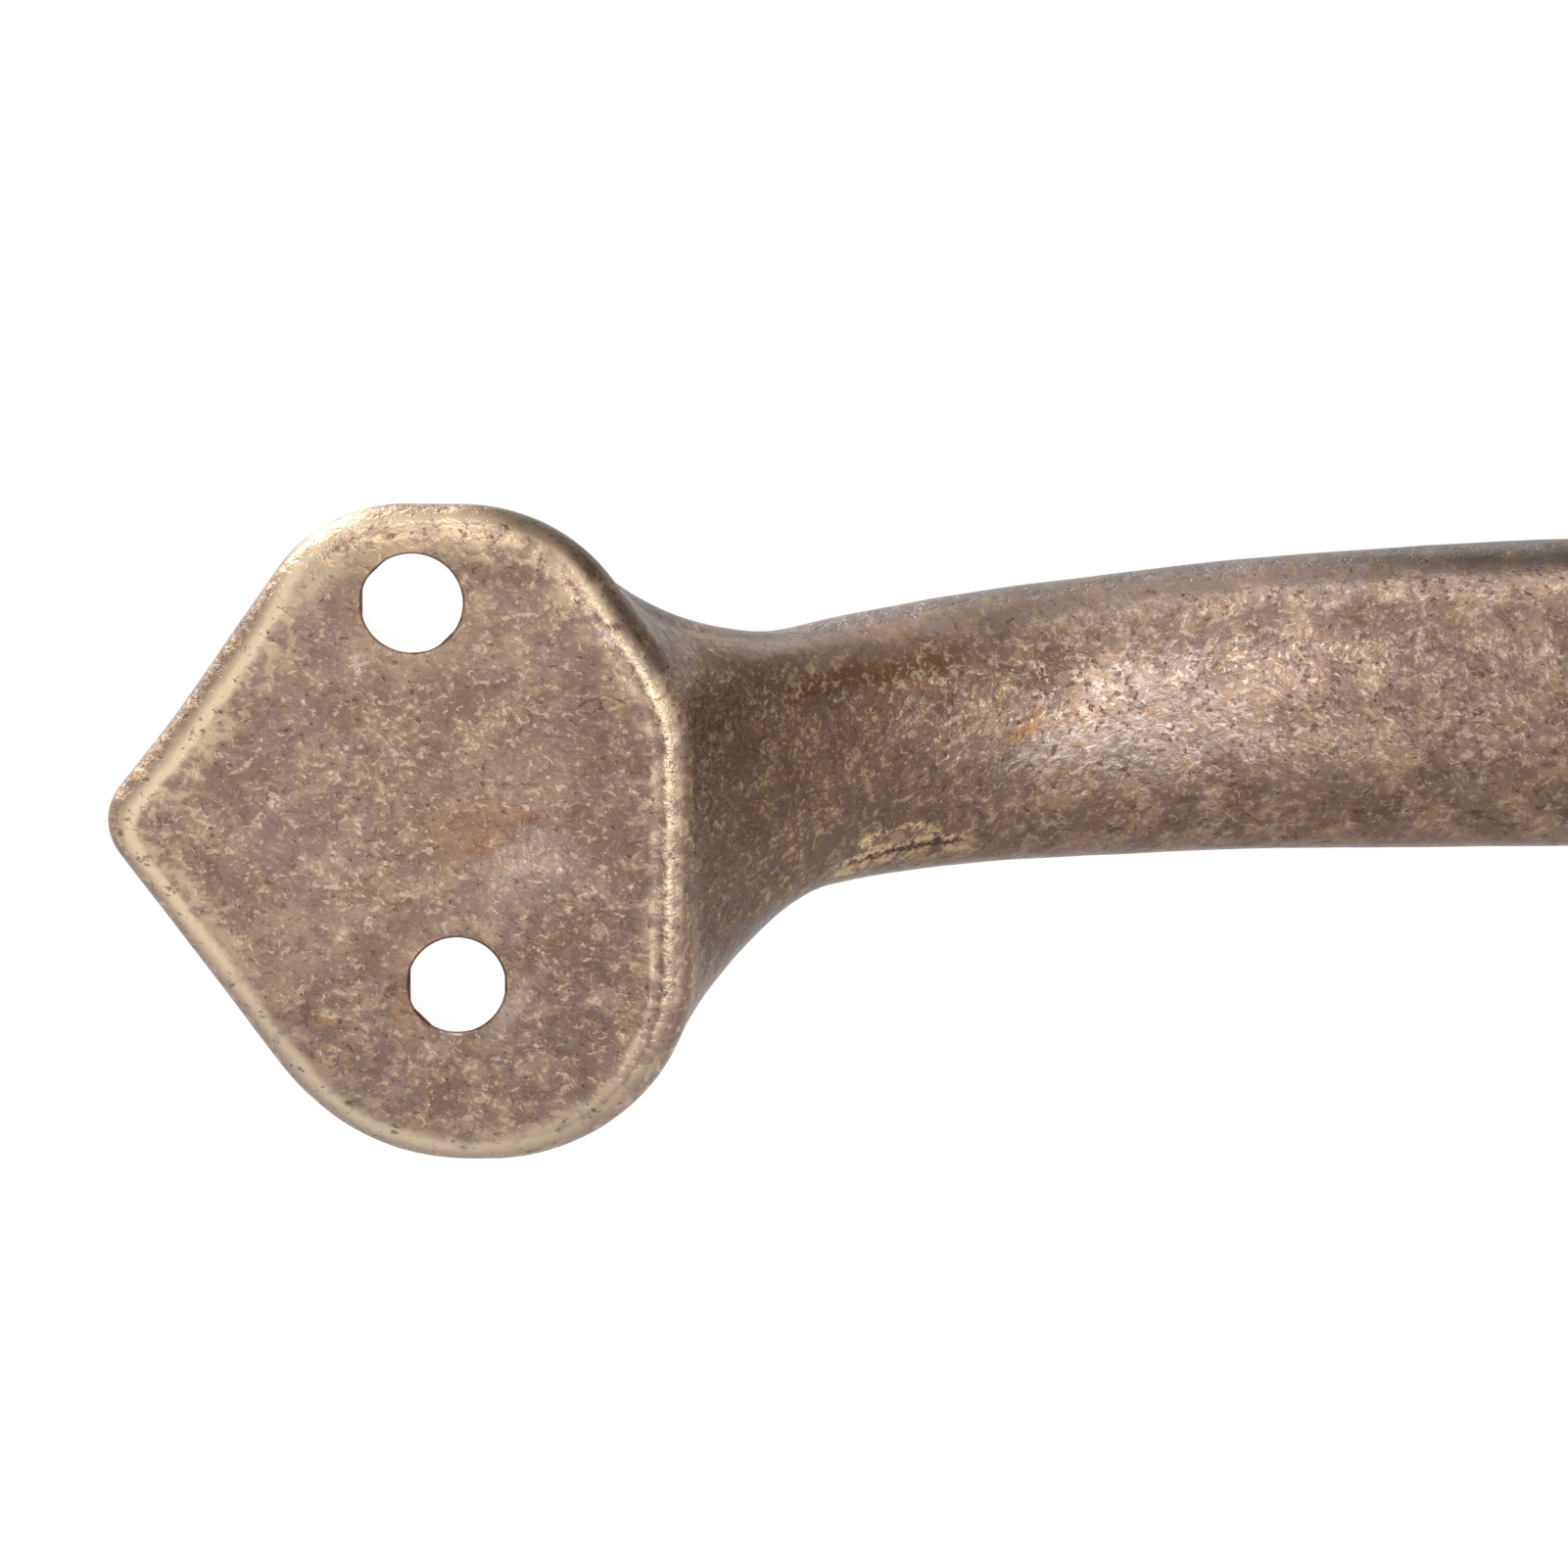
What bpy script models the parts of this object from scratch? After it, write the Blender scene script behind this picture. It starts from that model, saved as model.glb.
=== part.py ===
# Cast brass bow pull for a drawer or a cabinet door: one casting with a spade-shaped
# screw foot at each end. The length runs along X, both feet bear on the plane Y = 0
# with their flat backs facing +Y, and the grip stands out towards -Y. +Z is up.
# All sizes are in metres and all angles in degrees.

import math

import bmesh
import bpy
import numpy as np
from mathutils import Vector

# Overall form
OVERALL_LENGTH = 0.1270
PROJECTION = 0.0254
FOOT_THICKNESS = 0.0036

# Foot outline seen from the back. Its sharp corners are measured inboard from the one
# at the tip, and up or down from the middle line, before each corner is rounded.
FOOT_LENGTH = 0.0244
UPPER_LOBE_HEIGHT = 0.0132
LOWER_LOBE_HEIGHT = 0.0142
UPPER_LOBE_START = 0.0093
UPPER_LOBE_END = 0.0186
LOWER_LOBE_START = 0.0104
UPPER_SHOULDER_HEIGHT = 0.0055
TIP_BEND_INBOARD = 0.0033
TIP_BEND_HEIGHT = 0.00445
TIP_RADIUS = 0.0023
TIP_BEND_RADIUS = 0.0120
UPPER_LOBE_RADIUS = 0.0063
UPPER_LOBE_INNER_RADIUS = 0.0076
UPPER_SHOULDER_RADIUS = 0.0079
LOWER_SHOULDER_RADIUS = 0.0083
LOWER_LOBE_RADIUS = 0.0094

# Rounded rim of the foot, and how far it rolls over where it faces the neck
RIM_INSET = 0.00165
NECK_SIDE_ROLL = 76.0
NECK_SIDE_ENDS = 40.0
FREE_EDGE_STARTS = 126.0

# Neck: the flare from the foot ends where the bow's own section begins
NECK_RUN = 0.0045
NECK_DEPTH = 0.0118
NECK_SLOPE = 43.0
NECK_WIDTH = 0.0108
NECK_THICKNESS = 0.0064
FLARE_CENTRE = 0.0066
SHORTEST_RISE = 0.0005

# How tightly the flare bends at its sides and on the front, from its foot and its neck end
SIDE_TIGHTNESS = (0.58, 0.54)
FRONT_TIGHTNESS = (0.80, 0.66)
SIDE_ENDS = 72.0
FRONT_STARTS = 140.0

# Bow, with a flatter section on its back than on its front
GRIP_WIDTH = 0.0128
GRIP_THICKNESS = 0.0068
BOW_START_PULL = 0.0096
BOW_MIDDLE_PULL = 0.0137
BACK_POWER = 2.7
FRONT_POWER = 2.2

# Screw holes, measured inboard from the tip and in from the upper or lower edge of the lobe
HOLE_DIAMETER = 0.0040
COUNTERSINK_DIAMETER = 0.0066
COUNTERSINK_ANGLE = 82.0
UPPER_HOLE_INBOARD = 0.0123
UPPER_HOLE_EDGE = 0.0037
LOWER_HOLE_INBOARD = 0.0141
LOWER_HOLE_EDGE = 0.0077
CUT_CLEARANCE = 0.0080

# Fineness of the surface
RING_POINTS = 60
LENGTH_SHARE = 0.35
BEND_SHARE = 0.3
ROLL_STEPS = 8
FLARE_STEPS = 12
BOW_STEPS = 14
CORNER_STEPS = 24
HOLE_SIDES = 40

BRASS_COLOUR = (0.24, 0.16, 0.085, 1.0)
MERGE_DISTANCE = 0.00001

half_length = OVERALL_LENGTH / 2


def unit(vectors):
    return vectors / np.linalg.norm(vectors, axis=1, keepdims=True)


def foot_corners():
    """Sharp corners of the foot with their radii, from the neck's side over the upper lobe."""
    return [
        (FOOT_LENGTH, UPPER_SHOULDER_HEIGHT, UPPER_SHOULDER_RADIUS),
        (UPPER_LOBE_END, UPPER_LOBE_HEIGHT, UPPER_LOBE_INNER_RADIUS),
        (UPPER_LOBE_START, UPPER_LOBE_HEIGHT, UPPER_LOBE_RADIUS),
        (TIP_BEND_INBOARD, TIP_BEND_HEIGHT, TIP_BEND_RADIUS),
        (0.0, 0.0, TIP_RADIUS),
        (TIP_BEND_INBOARD, -TIP_BEND_HEIGHT, TIP_BEND_RADIUS),
        (LOWER_LOBE_START, -LOWER_LOBE_HEIGHT, LOWER_LOBE_RADIUS),
        (FOOT_LENGTH, -LOWER_LOBE_HEIGHT, LOWER_SHOULDER_RADIUS),
    ]


def rounded_outline(corners):
    """Points of a closed outline with an arc at each corner, and their outward directions."""
    sharp = [Vector((-inboard, height)) for inboard, height, radius in corners]
    points, outward = [], []
    for i, corner in enumerate(sharp):
        radius = corners[i][2]
        before = (sharp[i - 1] - corner).normalized()
        after = (sharp[(i + 1) % len(sharp)] - corner).normalized()
        half_angle = before.angle(after) / 2
        centre = corner + (before + after).normalized() * (radius / math.sin(half_angle))
        start = corner + before * (radius / math.tan(half_angle)) - centre
        bulge = 1 if before.cross(after) > 0 else -1
        for step in range(CORNER_STEPS + 1):
            turn = -bulge * (math.pi - 2 * half_angle) * step / CORNER_STEPS
            spoke = Vector((
                start.x * math.cos(turn) - start.y * math.sin(turn),
                start.x * math.sin(turn) + start.y * math.cos(turn),
            ))
            points.append(centre + spoke)
            outward.append(spoke.normalized() * bulge)
    return np.array(points), np.array(outward)


def ring_layout():
    """Angle round the casting, foot outline and its outward direction at each ring point.

    The angle is measured about a centre inside the foot: 0 faces the neck, a quarter
    turn is up and a half turn is the tip.
    """
    points, outward = rounded_outline(foot_corners())
    centre_x = points[:, 0].min() + FLARE_CENTRE
    turn = np.arctan2(points[:, 1], centre_x - points[:, 0]) % math.tau

    def around(angles, values):
        return np.stack([np.interp(angles, turn, v, period=math.tau) for v in values.T], axis=1)

    # Points lie closer where the outline turns, and on the back of the grip
    fine = np.linspace(0, math.tau, 40 * RING_POINTS + 1)
    length = np.linalg.norm(np.diff(around(fine, points), axis=0), axis=1)
    bend = np.linalg.norm(np.diff(unit(around(fine, outward)), axis=0), axis=1)
    rest = (1 - LENGTH_SHARE - BEND_SHARE) / len(length)
    spread = LENGTH_SHARE * length / length.sum() + BEND_SHARE * bend / bend.sum() + rest
    reached = np.concatenate([[0], np.cumsum(spread)])
    angles = np.interp(np.arange(RING_POINTS) / RING_POINTS, reached, fine)
    outline = around(angles, points)
    outline[:, 0] += half_length - outline[:, 0].max()
    return angles, outline, unit(around(angles, outward))


def in_space(plan, depth):
    """Points from (x, z) in plan and their depth in front of the mounting plane."""
    return np.stack([plan[:, 0], -depth, plan[:, 1]], axis=1)


def change_between(angles, start, end):
    """Smooth change from 0 to 1 between two angles from the neck's side, the same up and down."""
    from_neck = np.degrees(np.minimum(angles, math.tau - angles))
    share = np.clip((from_neck - start) / (end - start), 0, 1)
    return share * share * (3 - 2 * share)


def foot_rings(angles, outline, outward):
    """Rings from the flat back over the rounded rim, and the last one's outward normals."""
    free = change_between(angles, NECK_SIDE_ENDS, FREE_EDGE_STARTS)
    full_roll = np.radians(NECK_SIDE_ROLL * (1 - free) + 180 * free)
    rings = []
    for step in range(ROLL_STEPS + 1):
        roll = full_roll * step / ROLL_STEPS
        shift = RIM_INSET * (np.sin(roll) - 1)
        depth = FOOT_THICKNESS / 2 * (1 - np.cos(roll))
        rings.append(in_space(outline + outward * shift[:, None], depth))
    normal = in_space(
        outward * FOOT_THICKNESS / 2 * np.sin(full_roll)[:, None],
        -RIM_INSET * np.cos(full_roll),
    )
    return rings, unit(normal)


def flare_rings(angles, edge, normal, neck, heading):
    """Rings between the foot's rim and the neck.

    Each path bends about the place where the neck's own line meets the rim's tangent plane.
    """
    rise = ((neck - edge) * normal).sum(axis=1) / (normal @ heading)
    bend = neck - heading * np.maximum(rise, SHORTEST_RISE)[:, None]
    front = change_between(angles, SIDE_ENDS, FRONT_STARTS)[:, None]
    at_foot = SIDE_TIGHTNESS[0] * (1 - front) + FRONT_TIGHTNESS[0] * front
    at_neck = SIDE_TIGHTNESS[1] * (1 - front) + FRONT_TIGHTNESS[1] * front
    after_edge = edge + (bend - edge) * at_foot
    before_neck = neck + (bend - neck) * at_neck
    shares = [step / FLARE_STEPS for step in range(1, FLARE_STEPS)]
    return [bezier(edge, after_edge, before_neck, neck, share) for share in shares]


def section(angles, centre, heading, width, thickness):
    """Ring of the bow across its spine, which runs along heading in the XY plane."""
    to_back, up = np.cos(angles), np.sin(angles)
    power = np.where(to_back > 0, BACK_POWER, FRONT_POWER)
    scale = (np.abs(to_back) ** power + np.abs(up) ** power) ** (-1 / power)
    across = thickness / 2 * to_back * scale
    ring = np.empty((len(angles), 3))
    ring[:, 0] = centre[0] + heading[1] * across
    ring[:, 1] = centre[1] - heading[0] * across
    ring[:, 2] = width / 2 * up * scale
    return ring


def bezier(p0, p1, p2, p3, share):
    rest = 1 - share
    return p0 * rest**3 + p1 * 3 * rest**2 * share + p2 * 3 * rest * share**2 + p3 * share**3


def bezier_heading(p0, p1, p2, p3, share):
    rest = 1 - share
    slope = (p1 - p0) * rest**2 + (p2 - p1) * 2 * rest * share + (p3 - p2) * share**2
    return slope / np.linalg.norm(slope)


def spine(neck_side_x):
    """Control points of the bow's middle line, from the neck to the middle of the pull."""
    slope = math.radians(NECK_SLOPE)
    start = np.array([neck_side_x - NECK_RUN, -NECK_DEPTH])
    middle = np.array([0.0, GRIP_THICKNESS / 2 - PROJECTION])
    return (
        start,
        start - BOW_START_PULL * np.array([math.cos(slope), math.sin(slope)]),
        middle + np.array([BOW_MIDDLE_PULL, 0.0]),
        middle,
    )


def casting_rings():
    """All rings of one half, from the flat back of the foot to the middle of the grip."""
    angles, outline, outward = ring_layout()
    foot, normal = foot_rings(angles, outline, outward)
    controls = spine(outline[:, 0].min())
    bow = []
    for step in range(BOW_STEPS + 1):
        share = step / BOW_STEPS
        swell = share * share * (3 - 2 * share)
        bow.append(section(
            angles,
            bezier(*controls, share),
            bezier_heading(*controls, share),
            NECK_WIDTH + (GRIP_WIDTH - NECK_WIDTH) * swell,
            NECK_THICKNESS + (GRIP_THICKNESS - NECK_THICKNESS) * swell,
        ))
    heading = np.append(bezier_heading(*controls, 0.0), 0.0)
    return foot + flare_rings(angles, foot[-1], normal, bow[0], heading) + bow


def lofted_mesh(name, rings):
    """Mesh through the rings, closed by a flat face on the first and open at the last."""
    shape = bmesh.new()
    loops = [[shape.verts.new(point) for point in ring] for ring in rings]
    shape.faces.new(loops[0])
    for near, far in zip(loops, loops[1:]):
        for j in range(len(near)):
            after = (j + 1) % len(near)
            shape.faces.new((near[j], far[j], far[after], near[after])).smooth = True
    mesh = bpy.data.meshes.new(name)
    shape.to_mesh(mesh)
    shape.free()
    return mesh


def brass():
    material = bpy.data.materials.new("aged_brass")
    material.use_nodes = True
    shader = material.node_tree.nodes["Principled BSDF"]
    shader.inputs["Base Color"].default_value = BRASS_COLOUR
    shader.inputs["Metallic"].default_value = 1.0
    shader.inputs["Roughness"].default_value = 0.45
    return material


def screw_hole_cutter(name, x, z, cutters):
    """Drill with a countersink that faces the front, turned about the hole's axis."""
    hole, head = HOLE_DIAMETER / 2, COUNTERSINK_DIAMETER / 2
    cone_depth = (head - hole) / math.tan(math.radians(COUNTERSINK_ANGLE / 2))
    top, bottom = FOOT_THICKNESS + CUT_CLEARANCE, -CUT_CLEARANCE
    profile = [
        (0, top),
        (head, top),
        (head, FOOT_THICKNESS),
        (hole, FOOT_THICKNESS - cone_depth),
        (hole, bottom),
        (0, bottom),
    ]
    mesh = bpy.data.meshes.new(name)
    mesh.from_pydata(
        [(radius, 0, depth) for radius, depth in profile],
        [(i, i + 1) for i in range(len(profile) - 1)],
        [],
    )
    cutter = bpy.data.objects.new(name, mesh)
    cutter.location = (x, 0, z)
    cutter.rotation_euler = (math.pi / 2, 0, 0)
    cutter.hide_render = True
    cutter.display_type = "WIRE"
    cutters.objects.link(cutter)
    turned = cutter.modifiers.new("Turned", "SCREW")
    turned.steps = HOLE_SIDES
    turned.render_steps = HOLE_SIDES
    turned.use_merge_vertices = True
    turned.merge_threshold = MERGE_DISTANCE
    return cutter


def build():
    for old in list(bpy.data.objects):
        bpy.data.objects.remove(old, do_unlink=True)
    parts = bpy.data.collections.new("bow_pull")
    cutters = bpy.data.collections.new("cutters")
    bpy.context.scene.collection.children.link(parts)
    bpy.context.scene.collection.children.link(cutters)

    mesh = lofted_mesh("pull_casting", casting_rings())
    mesh.materials.append(brass())
    casting = bpy.data.objects.new("pull_casting", mesh)
    parts.objects.link(casting)

    mirrored = casting.modifiers.new("Other half", "MIRROR")
    mirrored.use_axis = (True, False, False)
    mirrored.merge_threshold = MERGE_DISTANCE

    holes = (
        ("upper", UPPER_HOLE_INBOARD, UPPER_LOBE_HEIGHT - UPPER_HOLE_EDGE),
        ("lower", LOWER_HOLE_INBOARD, LOWER_HOLE_EDGE - LOWER_LOBE_HEIGHT),
    )
    for side, side_name in ((1, "right"), (-1, "left")):
        for hole_name, inboard, height in holes:
            name = f"{side_name}_{hole_name}_screw_hole"
            drilled = casting.modifiers.new(name, "BOOLEAN")
            drilled.operation = "DIFFERENCE"
            drilled.solver = "EXACT"
            drilled.object = screw_hole_cutter(
                name, side * (half_length - inboard), height, cutters
            )


build()
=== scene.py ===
import math
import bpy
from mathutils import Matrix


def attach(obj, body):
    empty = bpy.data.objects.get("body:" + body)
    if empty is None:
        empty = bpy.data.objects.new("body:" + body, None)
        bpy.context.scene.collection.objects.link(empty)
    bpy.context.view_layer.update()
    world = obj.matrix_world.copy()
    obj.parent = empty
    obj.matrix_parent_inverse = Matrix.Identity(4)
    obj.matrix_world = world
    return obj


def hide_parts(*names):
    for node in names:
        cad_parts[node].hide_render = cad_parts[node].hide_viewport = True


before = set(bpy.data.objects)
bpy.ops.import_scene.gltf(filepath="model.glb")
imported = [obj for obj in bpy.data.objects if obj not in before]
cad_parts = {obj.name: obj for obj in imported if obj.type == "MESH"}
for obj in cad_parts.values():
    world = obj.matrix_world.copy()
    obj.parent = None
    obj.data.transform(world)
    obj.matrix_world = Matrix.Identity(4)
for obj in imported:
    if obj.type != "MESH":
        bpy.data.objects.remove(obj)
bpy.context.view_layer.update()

from types import SimpleNamespace

import bmesh
import bpy
import numpy as np
from mathutils import Matrix, Vector, kdtree, noise

print("frame loaded, nodes:", ", ".join(sorted(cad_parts)))

# Sizes in metres and degrees. The feet bear on the plane Y = 0 and the grip stands out to -Y.
pull = {
    "length": 0.1270, "projection": 0.0254, "footThickness": 0.0036, "rimInset": 0.00165,
    # corners of the foot: inboard from the tip, height, radius
    "footCorners": [
        (0.0244, 0.0055, 0.0079), (0.0186, 0.0132, 0.0076), (0.0093, 0.0132, 0.0063),
        (0.0033, 0.00445, 0.0120), (0.0, 0.0, 0.0023), (0.0033, -0.00445, 0.0120),
        (0.0104, -0.0142, 0.0094), (0.0244, -0.0142, 0.0083),
    ],
    "neckSideRoll": 76.0, "neckSideEnds": 40.0, "freeEdgeStarts": 126.0,
    "neckRun": 0.0045, "neckDepth": 0.0118, "neckSlope": 43.0,
    "neckWidth": 0.0108, "neckThickness": 0.0064, "flareCentre": 0.0066, "shortestRise": 0.0005,
    "sideTightness": (0.58, 0.54), "frontTightness": (0.80, 0.66), "sideEnds": 72.0, "frontStarts": 140.0,
    "gripWidth": 0.0128, "gripThickness": 0.0068, "bowStartPull": 0.0096, "bowMiddlePull": 0.0137,
    "backPower": 2.7, "frontPower": 2.2,
    # holes: inboard from the tip, height, diameter, and flats as degrees from +X and share of the radius
    "holes": [
        (0.0123, 0.0095, 0.00414, ((0, 0.96), (45, 0.975), (225, 0.98))),
        (0.0141, -0.0065, 0.00396, ((0, 0.945), (315, 0.965), (180, 0.985))),
    ],
    "headDiameter": 0.0066, "headAngle": 82.0, "headRoom": 0.008, "lipChamfer": 0.00012,
    "wallSlack": 0.00002,  # how far past a hole's radius a face still counts as its wall
    # roll at which the rim is rubbed brightest, with a painted highlight, at the neck's side and at the free edge
    "neckCrestRoll": 18.0, "freeCrestRoll": 28.0,
    # waviness: waves per metre and their height, and its share and reach on the flat backs
    "waves": [(130.0, 0.00007), (420.0, 0.00002)], "flatWaves": 0.2, "flatReach": 0.004,
    "waveSeed": 5,
    # fineness
    "cornerSteps": 40, "ringPoints": 200, "searchSteps": 40, "rollSteps": 20, "flareSteps": 54,
    "bowSteps": 124, "backRings": 22, "backCrowding": 1.5, "smallestRing": 0.004, "holeSides": 72,
    "ringSpacing": (0.35, 0.3, 0.35),  # shares of the ring points spread by length, by bend and by angle
    "sharpFrom": 38.0,
}


def unit(vectors):
    return vectors / np.linalg.norm(vectors, axis=1, keepdims=True)


def eased(values, start, end):
    share = np.clip((values - start) / (end - start), 0, 1)
    return share * share * (3 - 2 * share)


def footOutline(corners):  # points and outward directions, one arc at each corner
    sharp = [Vector((-inboard, height)) for inboard, height, radius in corners]
    steps = pull["cornerSteps"]
    points, outward = [], []
    for i, corner in enumerate(sharp):
        radius = corners[i][2]
        before = (sharp[i - 1] - corner).normalized()
        after = (sharp[(i + 1) % len(sharp)] - corner).normalized()
        half = before.angle(after) / 2
        centre = corner + (before + after).normalized() * (radius / math.sin(half))
        start = corner + before * (radius / math.tan(half)) - centre
        bulge = 1 if before.cross(after) > 0 else -1
        for step in range(steps + 1):
            turned = start.copy()
            turned.rotate(Matrix.Rotation(-bulge * (math.pi - 2 * half) * step / steps, 2))
            points.append(centre + turned)
            outward.append(turned.normalized() * bulge)
    return np.array(points), np.array(outward)


def ringLayout():  # angle about the flare's centre, outline and outward direction for each ring point
    points, outward = footOutline(pull["footCorners"])
    centreX = points[:, 0].min() + pull["flareCentre"]
    turn = np.arctan2(points[:, 1], centreX - points[:, 0]) % math.tau

    def around(angles, values):
        return np.stack([np.interp(angles, turn, v, period=math.tau) for v in values.T], axis=1)

    count = pull["ringPoints"]
    fine = np.linspace(0, math.tau, pull["searchSteps"] * count + 1)
    run = np.linalg.norm(np.diff(around(fine, points), axis=0), axis=1)
    bend = np.linalg.norm(np.diff(unit(around(fine, outward)), axis=0), axis=1)
    byLength, byBend, byAngle = pull["ringSpacing"]
    spread = byLength * run / run.sum() + byBend * bend / bend.sum() + byAngle / len(run)
    reached = np.concatenate([[0], np.cumsum(spread)])
    angles = np.interp(np.arange(count) / count, reached, fine)
    outline = around(angles, points)
    shift = pull["length"] / 2 - outline[:, 0].max()
    outline[:, 0] += shift
    return angles, outline, unit(around(angles, outward)), centreX + shift


def inSpace(plan, depth):
    return np.stack([plan[:, 0], -depth, plan[:, 1]], axis=1)


def fromNeck(angles):
    return np.degrees(np.minimum(angles, math.tau - angles))


def footRings(angles, outline, outward):  # the rim, rolled round from the flat back
    free = eased(fromNeck(angles), pull["neckSideEnds"], pull["freeEdgeStarts"])
    fullRoll = np.radians(pull["neckSideRoll"] * (1 - free) + 180 * free)
    inset, half = pull["rimInset"], pull["footThickness"] / 2
    rings, rolls = [], []
    for step in range(pull["rollSteps"] + 1):
        roll = fullRoll * step / pull["rollSteps"]
        plan = outline + outward * (inset * (np.sin(roll) - 1))[:, None]
        rings.append(inSpace(plan, half * (1 - np.cos(roll))))
        rolls.append(roll)
    normal = inSpace(outward * half * np.sin(fullRoll)[:, None], -inset * np.cos(fullRoll))
    return rings, rolls, unit(normal), free


def bezier(p0, p1, p2, p3, share):
    rest = 1 - share
    return p0 * rest**3 + p1 * 3 * rest**2 * share + p2 * 3 * rest * share**2 + p3 * share**3


def bezierHeading(p0, p1, p2, p3, share):
    rest = 1 - share
    slope = (p1 - p0) * rest**2 + (p2 - p1) * 2 * rest * share + (p3 - p2) * share**2
    return slope / np.linalg.norm(slope)


def flareRings(angles, edge, normal, neck, heading):  # curves from the rim's end to the neck's section
    rise = ((neck - edge) * normal).sum(axis=1) / (normal @ heading)
    bend = neck - heading * np.maximum(rise, pull["shortestRise"])[:, None]
    front = eased(fromNeck(angles), pull["sideEnds"], pull["frontStarts"])[:, None]
    side, face = pull["sideTightness"], pull["frontTightness"]
    afterEdge = edge + (bend - edge) * (side[0] * (1 - front) + face[0] * front)
    beforeNeck = neck + (bend - neck) * (side[1] * (1 - front) + face[1] * front)
    steps = pull["flareSteps"]
    return [bezier(edge, afterEdge, beforeNeck, neck, step / steps) for step in range(1, steps)]


def bowSection(angles, centre, heading, width, thickness):  # rounded oblong, flatter at the back
    toBack, up = np.cos(angles), np.sin(angles)
    power = np.where(toBack > 0, pull["backPower"], pull["frontPower"])
    scale = (np.abs(toBack) ** power + np.abs(up) ** power) ** (-1 / power)
    across = thickness / 2 * toBack * scale
    return np.stack([
        centre[0] + heading[1] * across, centre[1] - heading[0] * across, width / 2 * up * scale,
    ], axis=1)


def bowSpine(neckSideX):  # control points from the neck to the middle of the grip
    slope = math.radians(pull["neckSlope"])
    start = np.array([neckSideX - pull["neckRun"], -pull["neckDepth"]])
    middle = np.array([0.0, pull["gripThickness"] / 2 - pull["projection"]])
    return (
        start, start - pull["bowStartPull"] * np.array([math.cos(slope), math.sin(slope)]),
        middle + np.array([pull["bowMiddlePull"], 0.0]), middle,
    )


def halfRings():  # rings of the +X half, back to front, with how far each point lies past the rim's crest
    angles, outline, outward, centreX = ringLayout()
    foot, rolls, normal, free = footRings(angles, outline, outward)
    radius = (pull["rimInset"] + pull["footThickness"] / 2) / 2
    neckRoll, freeRoll = pull["neckCrestRoll"], pull["freeCrestRoll"]
    crest = np.radians(neckRoll + (freeRoll - neckRoll) * eased(free, 0.0, 0.35))
    centre = np.array([centreX, 0.0, 0.0])
    rings, reaches = [], []
    for step in range(pull["backRings"]):  # flat back, from the middle out
        share = 1 - (1 - step / pull["backRings"]) ** pull["backCrowding"]
        ring = centre + (foot[0] - centre) * max(share, pull["smallestRing"])
        rings.append(ring)
        reaches.append(-radius * crest - np.linalg.norm(foot[0] - ring, axis=1))
    rings += foot
    reaches += [radius * (roll - crest) for roll in rolls]
    controls = bowSpine(outline[:, 0].min())
    bow = []
    for step in range(pull["bowSteps"] + 1):
        share = step / pull["bowSteps"]
        swell = eased(share, 0, 1)
        bow.append(bowSection(
            angles, bezier(*controls, share), bezierHeading(*controls, share),
            pull["neckWidth"] + (pull["gripWidth"] - pull["neckWidth"]) * swell,
            pull["neckThickness"] + (pull["gripThickness"] - pull["neckThickness"]) * swell,
        ))
    heading = np.append(bezierHeading(*controls, 0.0), 0.0)
    last, reach = rings[-1], reaches[-1]
    for ring in flareRings(angles, foot[-1], normal, bow[0], heading) + bow:
        reach = reach + np.linalg.norm(ring - last, axis=1)
        rings.append(ring)
        reaches.append(reach)
        last = ring
    turns = np.where(angles > math.pi, angles - math.tau, angles) / math.pi
    return np.array(rings), np.array(reaches), np.broadcast_to(turns, (len(rings), len(turns)))


def wholeShape():  # both halves welded at the middle, as points, quads and per-point values
    rings, reach, turn = halfRings()
    count, size = rings.shape[0], rings.shape[1]
    mirrored = rings[:-1] * np.array([-1.0, 1.0, 1.0])
    points = np.concatenate([rings.reshape(-1, 3), mirrored.reshape(-1, 3)])
    reaches = np.concatenate([reach.reshape(-1), reach[:-1].reshape(-1)])
    turns = np.concatenate([turn.reshape(-1), turn[:-1].reshape(-1)])
    faces = [list(range(size)), [size * count + j for j in reversed(range(size))]]
    for i in range(count - 1):
        near, far = i * size, (i + 1) * size
        otherNear = size * (count + i)
        otherFar = size * (count + i + 1) if i < count - 2 else size * (count - 1)
        for j in range(size):
            k = (j + 1) % size
            faces.append([near + j, far + j, far + k, near + k])
            faces.append([otherNear + j, otherNear + k, otherFar + k, otherFar + j])
    return points, faces, reaches, turns


def unevenness(points):  # the slight waviness of a sand casting, least on the flat backs of the feet
    noise.seed_set(pull["waveSeed"])  # without it the clock shifts the noise
    waves = np.array([
        sum((noise.noise_vector(Vector(point) * rate) * height for rate, height in pull["waves"]), Vector())
        for point in points])
    least = pull["flatWaves"]
    waves[:, 1] *= least + (1 - least) * eased(-points[:, 1], 0.0, pull["flatReach"])
    return waves


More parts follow.
